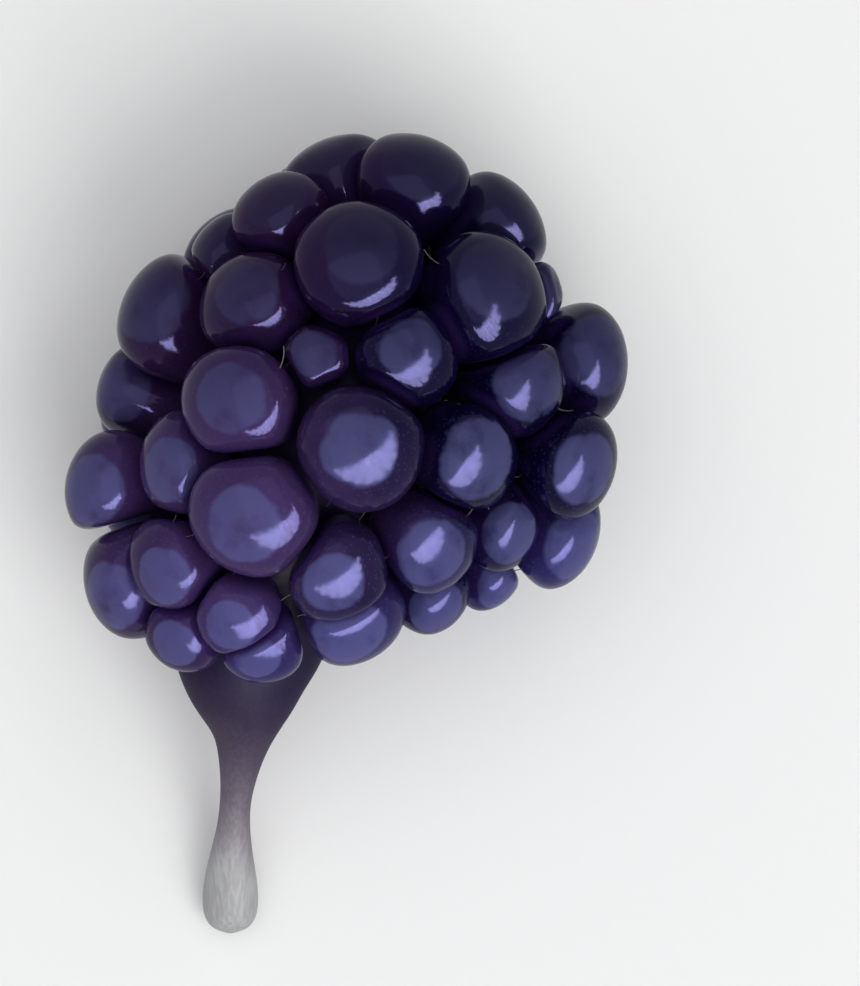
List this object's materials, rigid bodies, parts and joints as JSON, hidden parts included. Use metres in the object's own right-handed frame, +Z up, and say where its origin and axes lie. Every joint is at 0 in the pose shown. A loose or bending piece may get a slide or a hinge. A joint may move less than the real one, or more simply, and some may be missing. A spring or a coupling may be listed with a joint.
{
  "type": "bramble berry",
  "caption": "Ripe bramble berry lying on its flatter side: plump drupelets crowded on a receptacle that runs out into a smooth flared stalk with a round end.",
  "frame": {"origin": "middle of the bounding box in plan, on the surface that the berry lies on", "axes": "+Y from the stalk's end towards the berry's tip, +Z up from the surface, +X to the right when looking down with the tip away"},
  "size_m": [0.0224, 0.0322, 0.016],
  "materials": {
    "drupelet_skin": "waxy, half-glossy fruit skin, plum to navy",
    "stalk_rind": "smooth matt stalk, plum near the berry and pale grey at its end"
  },
  "bodies": {
    "root": {"outline_drupelet_01": "drupelet_skin", "outline_drupelet_02": "drupelet_skin", "outline_drupelet_03": "drupelet_skin", "outline_drupelet_04": "drupelet_skin", "outline_drupelet_05": "drupelet_skin", "outline_drupelet_06": "drupelet_skin", "outline_drupelet_07": "drupelet_skin", "outline_drupelet_08": "drupelet_skin", "outline_drupelet_09": "drupelet_skin", "outline_drupelet_10": "drupelet_skin", "outline_drupelet_11": "drupelet_skin", "outline_drupelet_12": "drupelet_skin", "outline_drupelet_13": "drupelet_skin", "outline_drupelet_14": "drupelet_skin", "outline_drupelet_15": "drupelet_skin", "outline_drupelet_16": "drupelet_skin", "outline_drupelet_17": "drupelet_skin", "outline_drupelet_18": "drupelet_skin", "stalk": "stalk_rind", "top_drupelet_01": "drupelet_skin", "top_drupelet_02": "drupelet_skin", "top_drupelet_03": "drupelet_skin", "top_drupelet_04": "drupelet_skin", "top_drupelet_05": "drupelet_skin", "top_drupelet_06": "drupelet_skin", "top_drupelet_07": "drupelet_skin", "top_drupelet_08": "drupelet_skin", "top_drupelet_09": "drupelet_skin", "top_drupelet_10": "drupelet_skin", "top_drupelet_11": "drupelet_skin", "top_drupelet_12": "drupelet_skin", "top_drupelet_13": "drupelet_skin", "top_drupelet_14": "drupelet_skin", "top_drupelet_15": "drupelet_skin", "top_drupelet_16": "drupelet_skin", "under_drupelet_01": "drupelet_skin", "under_drupelet_02": "drupelet_skin", "under_drupelet_03": "drupelet_skin", "under_drupelet_04": "drupelet_skin", "under_drupelet_05": "drupelet_skin", "under_drupelet_06": "drupelet_skin", "under_drupelet_07": "drupelet_skin", "under_drupelet_08": "drupelet_skin", "under_drupelet_09": "drupelet_skin", "under_drupelet_10": "drupelet_skin", "under_drupelet_11": "drupelet_skin", "under_drupelet_12": "drupelet_skin", "under_drupelet_13": "drupelet_skin", "under_drupelet_14": "drupelet_skin", "under_drupelet_15": "drupelet_skin", "under_drupelet_16": "drupelet_skin", "under_drupelet_17": "drupelet_skin", "under_drupelet_18": "drupelet_skin", "under_drupelet_19": "drupelet_skin", "under_drupelet_20": "drupelet_skin", "under_drupelet_21": "drupelet_skin", "under_drupelet_22": "drupelet_skin", "under_drupelet_23": "drupelet_skin", "under_drupelet_24": "drupelet_skin", "under_drupelet_25": "drupelet_skin"}
  },
  "joints": []
}
